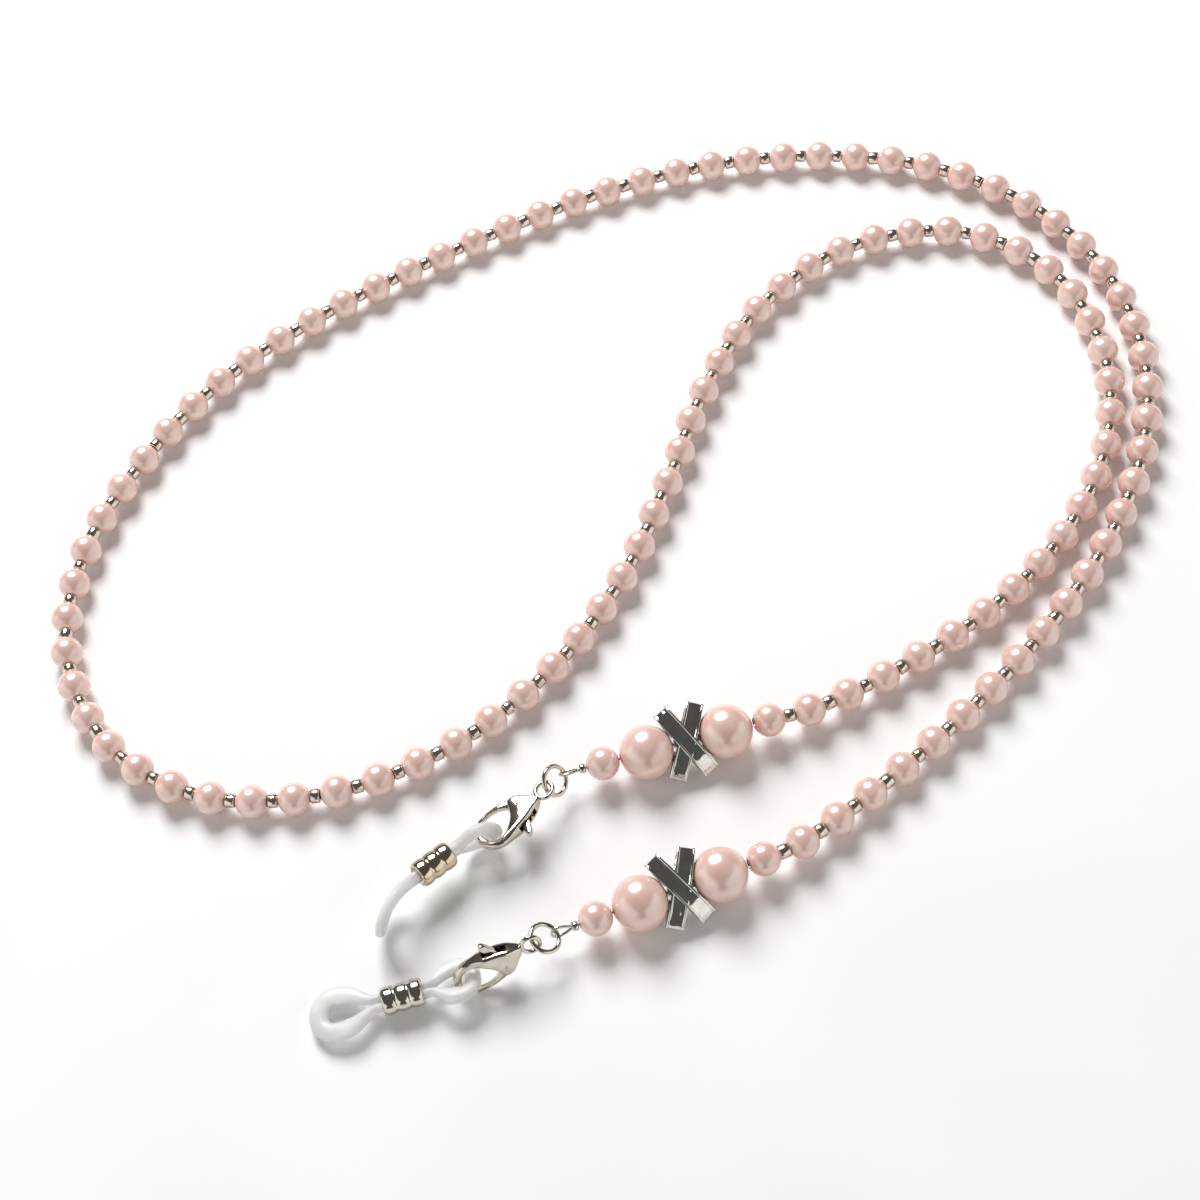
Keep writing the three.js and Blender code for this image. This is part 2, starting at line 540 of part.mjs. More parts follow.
// ---------------------------------------------------------------- the two ends
function strapEnd(letter, end) {
  const named = (name) => name + "_" + letter;
  const away = direction(end.heading);
  const hinge = vector(end.hinge);
  const lean = THREE.MathUtils.degToRad(end.spacerLean);
  const faceNormal = direction(end.heading + 90).multiplyScalar(Math.sin(lean));
  faceNormal.z = Math.cos(lean);
  const at = (station) => frameAt(hinge.clone().addScaledVector(away, station), away, faceNormal);

  // the beads on the end wire, each against the last with a little play
  const inner = PEARL_D / 2 + BEAD_PLAY + LARGE_PEARL_D / 2;
  const middle = inner + LARGE_PEARL_D / 2 + BEAD_PLAY + SPACER_BOSS_LENGTH / 2;
  const outer = middle + SPACER_BOSS_LENGTH / 2 + BEAD_PLAY + LARGE_PEARL_D / 2;
  const last = outer + LARGE_PEARL_D / 2 + BEAD_PLAY + PEARL_D / 2;
  const crimp = last + PEARL_D / 2 + BEAD_PLAY + CRIMP_LENGTH / 2;
  const crimpEnd = crimp + CRIMP_LENGTH / 2;
  place(named("large_pearl_inner"), pearl(LARGE_PEARL_D, 14), pearlFinish, at(inner));
  place(named("cross_spacer"), spacer(), nickelFinish, at(middle));
  place(named("large_pearl_outer"), pearl(LARGE_PEARL_D, 14), pearlFinish, at(outer));
  place(named("end_pearl"), pearl(PEARL_D, 10), pearlFinish, at(last));
  const crimpBead = sleeve(CRIMP_D, 2 * WIRE_D + WIRE_PLAY, CRIMP_LENGTH, 8);
  place(named("crimp_bead"), crimpBead, nickelFinish, at(crimp));
  // the end wire runs from the strand's pearl into the crimp bead, up to the wire loop's legs
  const wireLine = new THREE.LineCurve3(
    new THREE.Vector3(PEARL_D / 2 + 2 * BEAD_PLAY, 0, 0),
    new THREE.Vector3(crimp - BEAD_PLAY, 0, 0),
  );
  place(named("end_wire"), rod(wireLine, WIRE_D, 8, 1), wireFinish, at(0));

  // the jump ring's wire passes through the wire loop's bend at one point and the eye at another
  const toEye = direction(end.ringHeading, end.ringRise);
  const ringRadius = (RING_D - RING_WIRE_D) / 2;
  const inBend = WIRE_LOOP_BEND - WIRE_D / 2 - RING_PLAY_IN_LOOP - RING_WIRE_D / 2;
  const ringCentre = hinge
    .clone()
    .addScaledVector(away, crimpEnd + wireLoopCentre + inBend)
    .addScaledVector(toEye, ringRadius);
  const ringFrame = frameAt(ringCentre, toEye, vector(end.ringNormal));
  place(named("jump_ring"), jumpRing(), nickelFinish, ringFrame);
  const ringTangent = new THREE.Vector3(0, 1, 0).transformDirection(ringFrame);
  const loopTurn = THREE.MathUtils.degToRad(end.wireLoopTurn);
  const loopNormal = ringTangent.clone().applyAxisAngle(away, loopTurn);
  const loopPlace = hinge.clone().addScaledVector(away, crimpEnd);
  place(named("wire_loop"), wireLoop(), wireFinish, frameAt(loopPlace, away, loopNormal));

  // the clasp hangs on the ring, and everything in it is placed in its own plane
  const toHook = direction(end.claspHeading, end.claspRise);
  const ringInEye = EYE_RIM - EYE_D + EYE_WIRE_D + RING_PLAY_IN_EYE + RING_WIRE_D / 2;
  const claspOrigin = ringCentre
    .clone()
    .addScaledVector(toEye, ringRadius)
    .addScaledVector(toHook, -ringInEye);
  const claspFrame = frameAt(claspOrigin, toHook, vector(end.claspNormal));
  place(named("clasp_body"), claspBody(), nickelFinish, claspFrame);
  place(named("clasp_lever"), claspLever(), nickelFinish, claspFrame);
  place(named("clasp_pin"), surface(pivot(CLASP_THICKNESS - 0.1, 0)), nickelFinish, claspFrame);
  place(named("clasp_spring"), claspSpring(), springFinish, claspFrame);

  // the silicone loop starts as a band in the hook, and its slider sits where it is pinched
  const start = new THREE.Vector3(...HOOK_BAND, 0).applyMatrix4(claspFrame);
  const line = loopLine(start, end.loopBend);
  place(named("silicone_loop"), siliconeLoop(line, end), siliconeFinish);
  place(named("loop_slider"), loopSlider(), nickelFinish, loopFrame(line, end, SLIDER_PLACE));
}
strapEnd("a", ENDS.a);
strapEnd("b", ENDS.b);

export default strap;
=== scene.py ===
"""Beaded eyeglass retainer strap: a strand of rose imitation pearls and metal seed beads on beading
wire, whose two ends carry a cluster of large pearls with a crossed-band spacer, a wire loop, a jump
ring, a lobster clasp and a silicone loop with its slider. Metres, +Z up, lying on z = 0."""
import json
import math

import bmesh
import bpy
import numpy as np
from mathutils import Matrix, Vector


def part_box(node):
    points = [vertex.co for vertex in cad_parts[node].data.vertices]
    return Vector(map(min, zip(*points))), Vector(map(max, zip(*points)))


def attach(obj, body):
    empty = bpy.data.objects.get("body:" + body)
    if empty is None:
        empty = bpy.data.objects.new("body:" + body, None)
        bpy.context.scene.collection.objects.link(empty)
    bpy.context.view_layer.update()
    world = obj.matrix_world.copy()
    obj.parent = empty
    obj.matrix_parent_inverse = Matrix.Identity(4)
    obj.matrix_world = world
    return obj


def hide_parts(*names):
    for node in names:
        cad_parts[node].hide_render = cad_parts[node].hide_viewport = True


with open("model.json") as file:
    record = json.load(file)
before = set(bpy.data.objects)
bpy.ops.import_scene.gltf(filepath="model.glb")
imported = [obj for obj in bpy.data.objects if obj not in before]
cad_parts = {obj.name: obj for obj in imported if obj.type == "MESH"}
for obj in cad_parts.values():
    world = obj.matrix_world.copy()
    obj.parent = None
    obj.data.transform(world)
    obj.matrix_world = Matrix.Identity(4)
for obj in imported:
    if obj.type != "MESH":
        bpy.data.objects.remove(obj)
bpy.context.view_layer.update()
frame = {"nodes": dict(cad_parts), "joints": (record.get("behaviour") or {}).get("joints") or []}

MM = 0.001
JOINTS = {joint["name"]: joint for joint in frame["joints"]}

# ---------------------------------------------------------------- sizes, in millimetres
PEARL_COUNT = 112
CORD_REACH = 2.1  # of the wire, past the middle of each hinge pearl
PEARL_D = 4.7
LARGE_PEARL_D = 7.6
BORE_D = 1.1
SEED_D = 2.0
SEED_LENGTH = 1.42
WIRE_D = 0.4
WIRE_LOOP_LENGTH = 3.0
WIRE_LOOP_BEND = 0.82
CRIMP_D = 1.3
CRIMP_LENGTH = 0.9
RING_WIRE_D = 0.65
RING_SPLIT = 0.15
SPACER_LENGTH = 11.2
SPACER_DEPTH = 3.2
SPACER_LEAN = 30
STRAP_WIDTH = 2.4
STRAP_ANGLE = 27.5
STRAP_RISE = 0.15
# A quarter of a strap's bowed side, from its end to its middle, and the size of its hollow, as
# shares of its half length and half depth.
STRAP_BOW = [(1, 0), (0.985, 0.2), (0.9, 0.42), (0.75, 0.64), (0.45, 0.88), (0, 1)]
STRAP_HOLLOW = (0.82, 0.5)
EYE_D = 3.1
EYE_WIRE_D = 0.62
SHOULDER_THICKNESS = 2.4
HOOK_THICKNESS = 1.3
LEVER_THICKNESS = 0.9
LEVER_PLAY = 0.12
LEVER_PIVOT = (3.9, -1.3)
CLASP_ROUNDING = 0.38
PIN_D = 0.8
HOOK_BAND = (8.55, -1.9)
BAND_THICKNESS = 1.6
LOOP_LENGTH = 21.1
SLIDER_PLACE = 9.6
SLIDER_D = 3.8
SLIDER_LENGTH = 5.5
SLIDER_BORE_D = 3.24
SLIDER_VALLEY = 0.25

# The strand's route, in metres, from one end's hinge pearl to the other's, before MIDDLE is taken
# off to bring the strap's middle to the origin.
MIDDLE = Vector((0.00467, 0.00946, 0))
ROUTE = [
    (0.0211, -0.0254, 0.0038), (0.0270, -0.0243, 0.0032), (0.0380, -0.0203, 0.0025),
    (0.0544, -0.0120, 0.00237), (0.0683, -0.0006, 0.00235), (0.0782, 0.0144, 0.00235),
    (0.0816, 0.0315, 0.00235), (0.0772, 0.0483, 0.00235), (0.0648, 0.0586, 0.00235),
    (0.0469, 0.0584, 0.00235), (0.0312, 0.0488, 0.00235), (0.0205, 0.0344, 0.00235),
    (0.0124, 0.0176, 0.00235), (0.0037, 0.0020, 0.00235), (-0.0081, -0.0118, 0.00235),
    (-0.0230, -0.0220, 0.00235), (-0.0406, -0.0270, 0.00235), (-0.0584, -0.0250, 0.00235),
    (-0.0723, -0.0145, 0.00235), (-0.0784, 0.0022, 0.00235), (-0.0756, 0.0197, 0.00235),
    (-0.0668, 0.0350, 0.00235), (-0.0549, 0.0479, 0.00235), (-0.0402, 0.0577, 0.00235),
    (-0.0238, 0.0655, 0.00235), (-0.0074, 0.0719, 0.00235), (0.0096, 0.0771, 0.00235),
    (0.0276, 0.0798, 0.00235), (0.0458, 0.0787, 0.00235), (0.0629, 0.0732, 0.00235),
    (0.0771, 0.0621, 0.00235), (0.0857, 0.0464, 0.00235), (0.0874, 0.0288, 0.00235),
    (0.0828, 0.0116, 0.00235), (0.0732, -0.0041, 0.00235), (0.0608, -0.0173, 0.00235),
    (0.0469, -0.0287, 0.00237), (0.0322, -0.0386, 0.0025), (0.0221, -0.0444, 0.0032),
    (0.0172, -0.0461, 0.0038),
]

# The clasp in its own plane, in millimetres: eye at the origin, hook along +X, thumb tab along +Y.
HOOK_OUTLINE = [
    (1.3, 0.4), (3.0, 1.0), (5.0, 1.25), (7.5, 1.1), (9.4, 0.7), (10.7, -0.4), (11.25, -1.9),
    (10.9, -3.3), (10.0, -4.2), (9.55, -3.9), (10.0, -2.9), (10.15, -1.9), (9.8, -0.9),
    (9.0, -0.3), (7.6, -0.2), (6.2, -0.7), (5.2, -1.7), (4.4, -2.9), (3.3, -2.7), (1.9, -1.2),
    (1.3, -0.4),
]
LEVER_OUTLINE = [
    (3.2, -1.8), (3.4, -2.8), (5.4, -4.1), (7.4, -4.7), (8.9, -4.75), (8.9, -4.4), (7.2, -4.2),
    (5.6, -3.3), (4.9, -1.9), (4.9, -0.6), (6.5, 2.3), (6.4, 2.9), (5.9, 2.9), (3.7, -0.2),
]
LEVER_SLOT = [
    (2.4, -3.8), (5.2, -3.8), (5.3, -1.4), (5.4, -0.6), (7.0, 2.0), (4.2, 2.4), (2.7, 0.7),
    (2.0, 0.1), (2.0, -1.2),
]

# The silicone loop laid flat, in millimetres: the middle of its band as (along, half width).
LOOP_BAND = [
    (0.0, 0.0), (0.25, 1.3), (1.3, 2.3), (3.0, 2.2), (4.4, 1.45), (5.2, 0.88), (5.9, 0.69),
    (9.6, 0.675), (13.3, 0.69), (14.0, 0.85), (15.0, 1.4), (16.5, 2.15), (18.1, 2.5), (19.7, 2.25),
    (20.8, 1.25), (21.1, 0.0),
]

# How wide the band is along the loop: narrowest where the slider holds it.
BAND_WIDTHS = [(1.5, 3.2, 4.7, 5.7, 13.5, 14.5, 16.8), (2.1, 2.4, 1.5, 1.05, 1.05, 1.5, 2.5)]

# What differs between the ends. A turn or heading is in degrees, and the silicone loop's bend is
# (distance from the hook, heading, rise); across is its width's direction at the hook and the tip.
ENDS = {
    "a": {
        "wire_loop_turn": 0,
        "loop_bend": [(0, 186, 1), (5.6, 214, 6), (13.6, 214, 6), (22, 256, -26)],
        "loop_across": [(-0.25, -0.15, 0.93), (0.1, -0.5, 0.8)],
    },
    "b": {
        "wire_loop_turn": 30,
        "loop_bend": [(0, 187, -5), (5.6, 188, -3), (13.6, 188, -3), (22, 180, -10)],
        "loop_across": [(-0.19, 0.92, -0.3), (-0.1, 0.99, 0)],
    },
}

# ---------------------------------------------------------------- camera, floor and lights
CAMERA_PLACE = Vector((-0.00467, -0.17186, 0.2621))
CAMERA_TARGET = Vector((-0.00467, -0.00946, 0))
CAMERA_ROLL = -7.51  # degrees
CAMERA_LENS = 63


def frame_at(place, along_x, near_z):
    """A matrix at a place with its X axis along one direction and its Z axis near another."""
    x = Vector(along_x).normalized()
    z = (Vector(near_z) - x * Vector(near_z).dot(x)).normalized()
    return Matrix.Translation(place) @ Matrix((x, z.cross(x), z)).transposed().to_4x4()


def make_camera():
    data = bpy.data.cameras.new("camera")
    data.sensor_width = 36
    data.lens = CAMERA_LENS
    camera = bpy.data.objects.new("camera", data)
    back = (CAMERA_PLACE - CAMERA_TARGET).normalized()
    right = Vector((0, 0, 1)).cross(back).normalized()
    turned = Matrix.Rotation(math.radians(CAMERA_ROLL), 3, back) @ right
    camera.matrix_world = frame_at(CAMERA_PLACE, turned, back)
    bpy.context.collection.objects.link(camera)
    bpy.context.scene.camera = camera


def srgb(code, alpha=1.0):
    """An sRGB hex colour as linear values."""
    parts = [int(code[i : i + 2], 16) / 255 for i in (1, 3, 5)]
    return [c / 12.92 if c <= 0.04045 else ((c + 0.055) / 1.055) ** 2.4 for c in parts] + [alpha]


def softbox(name, toward, distance, size, power, colour, length=None):
    """A soft area light, in the direction given from the strap, facing it."""
    data = bpy.data.lights.new(name, "AREA")
    data.shape = "RECTANGLE"
    data.size = size
    data.size_y = length or size
    data.energy = power
    data.color = srgb(colour)[:3]
    light = bpy.data.objects.new(name, data)
    direction = Vector(toward).normalized()
    light.location = direction * distance
    light.rotation_euler = direction.to_track_quat("Z", "Y").to_euler()
    bpy.context.collection.objects.link(light)


def make_lights():
    softbox("key_softbox", (-0.18, 0.66, 0.72), 0.9, 0.46, 9.5, "#ffffff")
    softbox("left_board", (-0.87, -0.5, 0.3), 0.9, 1.7, 4.0, "#fffdfa", 0.7)
    softbox("right_board", (0.87, -0.5, 0.3), 0.9, 1.7, 4.0, "#fffdfa", 0.7)
    world = bpy.data.worlds.new("studio")
    bpy.context.scene.world = world
    world.use_nodes = True
    background = world.node_tree.nodes["Background"]
    background.inputs["Color"].default_value = srgb("#f2efec")
    background.inputs["Strength"].default_value = 0.12


# ---------------------------------------------------------------- materials
def add_node(tree, kind, inputs=None, **settings):
    """A node with its settings; each input is a value, or a socket to link from."""
    made = tree.nodes.new(kind)
    for name, value in settings.items():
        setattr(made, name, value)
    for name, value in (inputs or {}).items():
        if isinstance(value, bpy.types.NodeSocket):
            tree.links.new(value, made.inputs[name])
        else:
            made.inputs[name].default_value = value
    return made


def new_material(name, values):
    """A material with one Principled shader, whose uniform values are set on its own sockets."""
    material = bpy.data.materials.new(name)
    material.use_nodes = True
    tree = material.node_tree
    shader = tree.nodes["Principled BSDF"]
    for socket, value in values.items():
        shader.inputs[socket].default_value = value
    place = add_node(tree, "ShaderNodeTexCoord").outputs["Object"]
    return material, tree, shader, place


def noise(tree, place, size_mm, detail=2.0, roughness=0.5):
    """Noise whose features are about size_mm across."""
    inputs = {"Vector": place, "Scale": 1 / (size_mm * MM), "Detail": detail, "Roughness": roughness}
    return add_node(tree, "ShaderNodeTexNoise", inputs)


def ramp(tree, factor, stops):
    made = add_node(tree, "ShaderNodeValToRGB", {"Fac": factor})
    elements = made.color_ramp.elements
    for element, (position, colour) in zip(elements, (stops[0], stops[-1])):
        element.position, element.color = position, colour
    for position, colour in stops[1:-1]:
        elements.new(position).color = colour
    return made.outputs["Color"]


def grey(value):
    return [value, value, value, 1]


def bump(tree, shader, height, depth_mm, strength=1.0):
    inputs = {"Height": height, "Distance": depth_mm * MM, "Strength": strength}
    made = add_node(tree, "ShaderNodeBump", inputs)
    tree.links.new(made.outputs["Normal"], shader.inputs["Normal"])


def imitation_pearl(name, pale, deep):
    """Glass bead in a rose nacre lacquer: soft wide reflections over a warm body, under a clear coat."""
    material, tree, shader, place = new_material(
        name,
        {
            "Roughness": 0.27,
            "IOR": 2.6,
            "Coat Weight": 0.5,
            "Coat Roughness": 0.2,
            "Coat IOR": 1.5,
        },
    )
    cloud = noise(tree, place, 2.6, 2.0)
    colour = ramp(tree, cloud.outputs["Fac"], [(0.3, srgb(deep)), (0.7, srgb(pale))])
    tree.links.new(colour, shader.inputs["Base Color"])
    # the lacquer's faint orange peel
    bump(tree, shader, noise(tree, place, 0.5, 1.0).outputs["Fac"], 0.004, 0.5)
    return material


def nickel(name, colour, worn, roughness):
    """Polished nickel plate on cast or drawn metal: mirror bright, with faint tumbling marks."""
    material, tree, shader, place = new_material(name, {"Metallic": 1.0})
    cloud = noise(tree, place, 0.9, 3.0).outputs["Fac"]
    tree.links.new(
        ramp(tree, cloud, [(0.35, srgb(colour)), (0.75, srgb(worn))]), shader.inputs["Base Color"]
    )
    marks = ramp(tree, cloud, [(0.3, grey(roughness)), (0.8, grey(roughness * 1.8))])
    tree.links.new(marks, shader.inputs["Roughness"])
    bump(tree, shader, noise(tree, place, 0.6, 2.0).outputs["Fac"], 0.01, 0.35)
    return material


def frosted_silicone():
    """Moulded clear silicone: milky, satin, and lit through."""
    material, tree, shader, place = new_material(
        "moulded_silicone",
        {
            "IOR": 1.41,
            "Transmission Weight": 0.4,
            "Subsurface Weight": 0.75,
            "Subsurface Radius": (1.0, 0.95, 0.9),
            "Subsurface Scale": 1.6 * MM,
        },
    )
    cloud = noise(tree, place, 1.5, 2.0).outputs["Fac"]
    tree.links.new(
        ramp(tree, cloud, [(0.3, srgb("#f2f1ee")), (0.7, srgb("#faf9f8"))]),
        shader.inputs["Base Color"],
    )
    tree.links.new(ramp(tree, cloud, [(0.3, grey(0.28)), (0.7, grey(0.4))]), shader.inputs["Roughness"])
    bump(tree, shader, noise(tree, place, 0.25, 2.0).outputs["Fac"], 0.01, 0.4)
    return material


def drawn_wire():
    """Drawn stainless beading wire under its clear nylon: fine bright grey, with drawing lines."""
    material, tree, shader, place = new_material("drawn_wire", {"Metallic": 1.0})
    cloud = noise(tree, place, 0.3, 2.0).outputs["Fac"]
    tree.links.new(
        ramp(tree, cloud, [(0.3, srgb("#b9b3ab")), (0.7, srgb("#dad5cd"))]),
        shader.inputs["Base Color"],
    )
    tree.links.new(ramp(tree, cloud, [(0.3, grey(0.18)), (0.7, grey(0.3))]), shader.inputs["Roughness"])
    return material


def spring_steel():
    """Rolled spring steel, blued a little by its temper."""
    material, tree, shader, place = new_material("spring_steel", {"Metallic": 1.0})
    cloud = noise(tree, place, 0.4, 2.0).outputs["Fac"]
    tree.links.new(
        ramp(tree, cloud, [(0.3, srgb("#7f858c")), (0.7, srgb("#a3a6a8"))]),
        shader.inputs["Base Color"],
    )
    tree.links.new(ramp(tree, cloud, [(0.3, grey(0.25)), (0.7, grey(0.35))]), shader.inputs["Roughness"])
    return material


def matt_table():
    """The pale sheet that the strap lies on."""
    material, tree, shader, place = new_material("matt_table", {"Roughness": 0.9})
    cloud = noise(tree, place, 40.0, 2.0).outputs["Fac"]
    tree.links.new(
        ramp(tree, cloud, [(0.3, srgb("#fbfafa")), (0.7, srgb("#fefefe"))]),
        shader.inputs["Base Color"],
    )
    return material


# ---------------------------------------------------------------- meshes
def add_object(name, mesh, material, smooth=True):
    piece = bpy.data.objects.new(name, mesh)
    bpy.context.collection.objects.link(piece)
    if material:
        mesh.materials.clear()
        mesh.materials.append(material)
    for polygon in mesh.polygons:
        polygon.use_smooth = smooth
    return piece


def loft(name, rings, material, closed=False, matrix=None):
    """A closed surface through rings of points, in metres; the last ring joins the first if closed."""
    count, size = len(rings), len(rings[0])
    faces = []
    for i in range(count if closed else count - 1):
        this, after = i * size, (i + 1) % count * size
        for j in range(size):
            k = (j + 1) % size
            faces.append((this + j, this + k, after + k, after + j))
    if not closed:
        faces.append(tuple(range(size)))
        faces.append(tuple((count - 1) * size + j for j in range(size)))
    mesh = bpy.data.meshes.new(name)
    mesh.from_pydata([tuple(point) for ring in rings for point in ring], [], faces)
    if matrix:
        mesh.transform(matrix)
    tidy_normals(mesh)
    return add_object(name, mesh, material)


def tidy_normals(mesh):
    shape = bmesh.new()
    shape.from_mesh(mesh)
    bmesh.ops.remove_doubles(shape, verts=shape.verts, dist=1e-7)
    bmesh.ops.recalc_face_normals(shape, faces=shape.faces)
    shape.to_mesh(mesh)
    shape.free()


def lathe(name, profile, sides, material, matrix=None):
    """A closed (along, radius) profile in millimetres, turned about X."""
    rings = []
    for i in range(sides):
        angle = 2 * math.pi * i / sides
        rings.append(
            [(x * MM, r * math.cos(angle) * MM, r * math.sin(angle) * MM) for x, r in profile]
        )
    return loft(name, rings, material, closed=True, matrix=matrix)


def curve_through(points, steps, closed=False):
    """Points on a smooth curve through the given ones, with even steps on every stretch."""
    points = [np.array(point, dtype=float) for point in points]
    count = len(points)
    if closed:
        ends = lambda i: points[i % count]
    else:
        first, last = 2 * points[0] - points[1], 2 * points[-1] - points[-2]
        ends = lambda i: first if i < 0 else last if i >= count else points[i]
    line = []
    for i in range(count if closed else count - 1):
        a, b, c, d = (ends(i + k) for k in (-1, 0, 1, 2))
        gaps = [max(np.linalg.norm(q - p), 1e-9) ** 0.5 for p, q in ((a, b), (b, c), (c, d))]
        leave = ((b - a) / gaps[0] - (c - a) / (gaps[0] + gaps[1]) + (c - b) / gaps[1]) * gaps[1]
        reach = ((c - b) / gaps[1] - (d - b) / (gaps[1] + gaps[2]) + (d - c) / gaps[2]) * gaps[1]
        for step in range(steps):
            t = step / steps
            line.append(
                b
                + leave * t
                + (3 * (c - b) - 2 * leave - reach) * t**2
                + (2 * (b - c) + leave + reach) * t**3
            )
    if not closed:
        line.append(points[-1])
    return line


def even_steps(line, count):
    """The line again, as count points at even distances along it."""
    line = np.array(line)
    gone = np.concatenate([[0], np.cumsum(np.linalg.norm(np.diff(line, axis=0), axis=1))])
    places = np.linspace(0, gone[-1], count)
    return np.stack([np.interp(places, gone, line[:, k]) for k in range(3)], axis=1), gone[-1]


def tube(name, line, diameter_mm, sides, material, matrix=None):
    """A round wire along a line of points, in metres, with rounded-over ends."""
    line = [Vector(point) for point in line]
    radius = diameter_mm * MM / 2
    rings, side = [], None
    last = len(line) - 1
    for i, point in enumerate(line):
        tangent = (line[min(i + 1, last)] - line[max(i - 1, 0)]).normalized()
        side = side or tangent.orthogonal()
        side = (side - tangent * side.dot(tangent)).normalized()
        other = tangent.cross(side)
        steps = [(0, 1)]
        if i in (0, last):
            sign = -1 if i == 0 else 1
            steps = [(0, 1), (0.5 * radius * sign, 0.87), (0.87 * radius * sign, 0.5)]
            steps = steps[::-1] if i == 0 else steps
        for reach, share in steps:
            rings.append([
                point + tangent * reach + (side * math.cos(a) + other * math.sin(a)) * radius * share
                for a in (2 * math.pi * k / sides for k in range(sides))
            ])
    return loft(name, rings, material, matrix=matrix)


def plate(name, outline, thickness_at, rounding, material, matrix=None):
    """A plate on an outline in millimetres, as thick as thickness_at says, with rounded edges."""
    line = np.array(outline)
    after, before = np.roll(line, -1, axis=0), np.roll(line, 1, axis=0)
    tangent = after - before
    tangent /= np.maximum(np.linalg.norm(tangent, axis=1, keepdims=True), 1e-9)
    area = np.sum(line[:, 0] * after[:, 1] - line[:, 1] * after[:, 0])
    inward = np.stack([-tangent[:, 1], tangent[:, 0]], axis=1) * (1 if area > 0 else -1)
    thickness = np.array([thickness_at(x, y) for x, y in line])
    rings = []
    for degrees in (-90, -60, -30, 0, 0, 30, 60, 90):
        angle = math.radians(degrees)
        inset = rounding * (1 - math.cos(angle))
        side = -1 if len(rings) < 4 else 1
        height = side * (thickness / 2 - rounding) + rounding * math.sin(angle)
        ring = np.column_stack([line + inward * inset, height]) * MM
        rings.append([tuple(point) for point in ring])
    return loft(name, rings, material, matrix=matrix)


def round_outline(points, steps, count):
    """A closed smooth outline through the points, resampled to even steps."""
    line = curve_through([(*point, 0) for point in points], steps, closed=True)
    line.append(line[0])
    even, _ = even_steps(line, count + 1)
    return even[:-1, :2]


def combine(base, other, operation):
    """A boolean of two pieces, kept in the first; the second is removed."""
    modifier = base.modifiers.new("combine", "BOOLEAN")
    modifier.object = other
    modifier.operation = operation
    modifier.solver = "EXACT"
    apply_modifiers(base)
    bpy.data.objects.remove(other)


def apply_modifiers(piece):
    graph = bpy.context.evaluated_depsgraph_get()
    mesh = bpy.data.meshes.new_from_object(piece.evaluated_get(graph))
    piece.modifiers.clear()
    piece.data = mesh


def shade_by_angle(piece, degrees):
    """Smooth shading, with an edge left sharp where its faces meet at more than the angle."""
    shape = bmesh.new()
    shape.from_mesh(piece.data)
    for face in shape.faces:
        face.smooth = True
    for edge in shape.edges:
        edge.smooth = len(edge.link_faces) == 2 and edge.calc_face_angle(0) < math.radians(degrees)
    shape.to_mesh(piece.data)
    shape.free()


# ---------------------------------------------------------------- beads
def pearl_profile(diameter, steps):
    """Half a circle from bore rim to bore rim, closed through a slightly countersunk bore."""
    radius, bore = diameter / 2, BORE_D / 2
    rim = math.asin(bore * 1.15 / radius)
    angles = [rim + (math.pi - 2 * rim) * i / steps for i in range(steps + 1)]
    outside = [(-radius * math.cos(a), radius * math.sin(a)) for a in angles]
    inner = outside[-1][0] - 0.12
    return outside + [(inner, bore), (-inner, bore)]


def seed_profile():
    """A short cut-tube bead with softened rims."""
    half, outer, bore, rim = SEED_LENGTH / 2, SEED_D / 2, BORE_D / 2, 0.16
    return [
        (-half, bore), (-half, outer - rim), (-half + rim * 0.4, outer - rim * 0.4),
        (-half + rim, outer), (half - rim, outer), (half - rim * 0.4, outer - rim * 0.4),
        (half, outer - rim), (half, bore),
    ]


